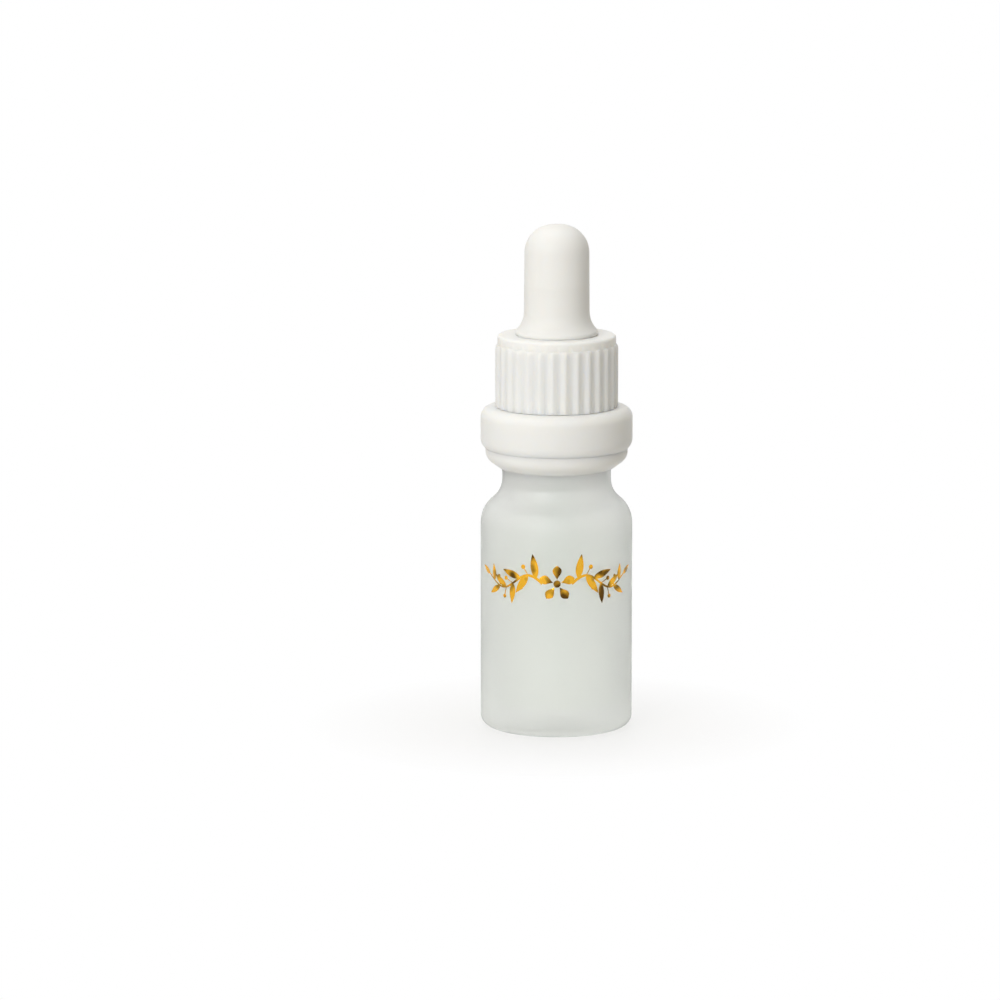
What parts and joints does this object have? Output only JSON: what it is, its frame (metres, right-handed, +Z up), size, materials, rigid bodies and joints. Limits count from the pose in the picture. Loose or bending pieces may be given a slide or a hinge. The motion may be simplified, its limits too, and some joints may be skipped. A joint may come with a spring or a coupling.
{
  "type": "dropper bottle",
  "caption": "Frosted glass dropper bottle for essential oil, with a ribbed screw cap, a wide tamper collar, a soft squeeze bulb and a glass pipette.",
  "frame": {"origin": "on the bottle's axis, at the level it stands on", "axes": "+Z up along the bottle's axis, -Y towards the printed front"},
  "size_m": [0.025, 0.025, 0.0834],
  "materials": {
    "frosted_glass": "acid-etched frosted glass, satin",
    "white_plastic": "satin moulded plastic",
    "white_rubber": "soft matte rubber",
    "clear_glass": "clear polished glass",
    "gold_foil": "thin hot-stamped foil"
  },
  "bodies": {
    "bottle": {"glass_bottle": "frosted_glass"},
    "collar": {"lock_ring": "white_plastic", "tamper_ring": "white_plastic"},
    "dropper": {"glass_pipette": "clear_glass"},
    "cap": {"screw_cap": "white_plastic"},
    "bulb": {"rubber_bulb": "white_rubber"}
  },
  "joints": [
    {"name": "collar_turn", "type": "hinge", "parent": "bottle", "child": "collar", "pos_m": [0, 0, 0.048], "axis": [0, 0, 1], "continuous": true},
    {"name": "dropper_lift", "type": "slide", "parent": "bottle", "child": "dropper", "axis": [0, 0, 1], "range_m": [0, 0.056]},
    {"name": "cap_turn", "type": "hinge", "parent": "dropper", "child": "cap", "pos_m": [0, 0, 0.058], "axis": [0, 0, 1], "range_deg": [0, 360]},
    {"name": "bulb_squeeze", "type": "slide", "parent": "dropper", "child": "bulb", "axis": [0, 1, 0], "range_m": [0, 0.0035], "stiffness_N_per_m": 500, "deforming": ["rubber_bulb"]}
  ]
}
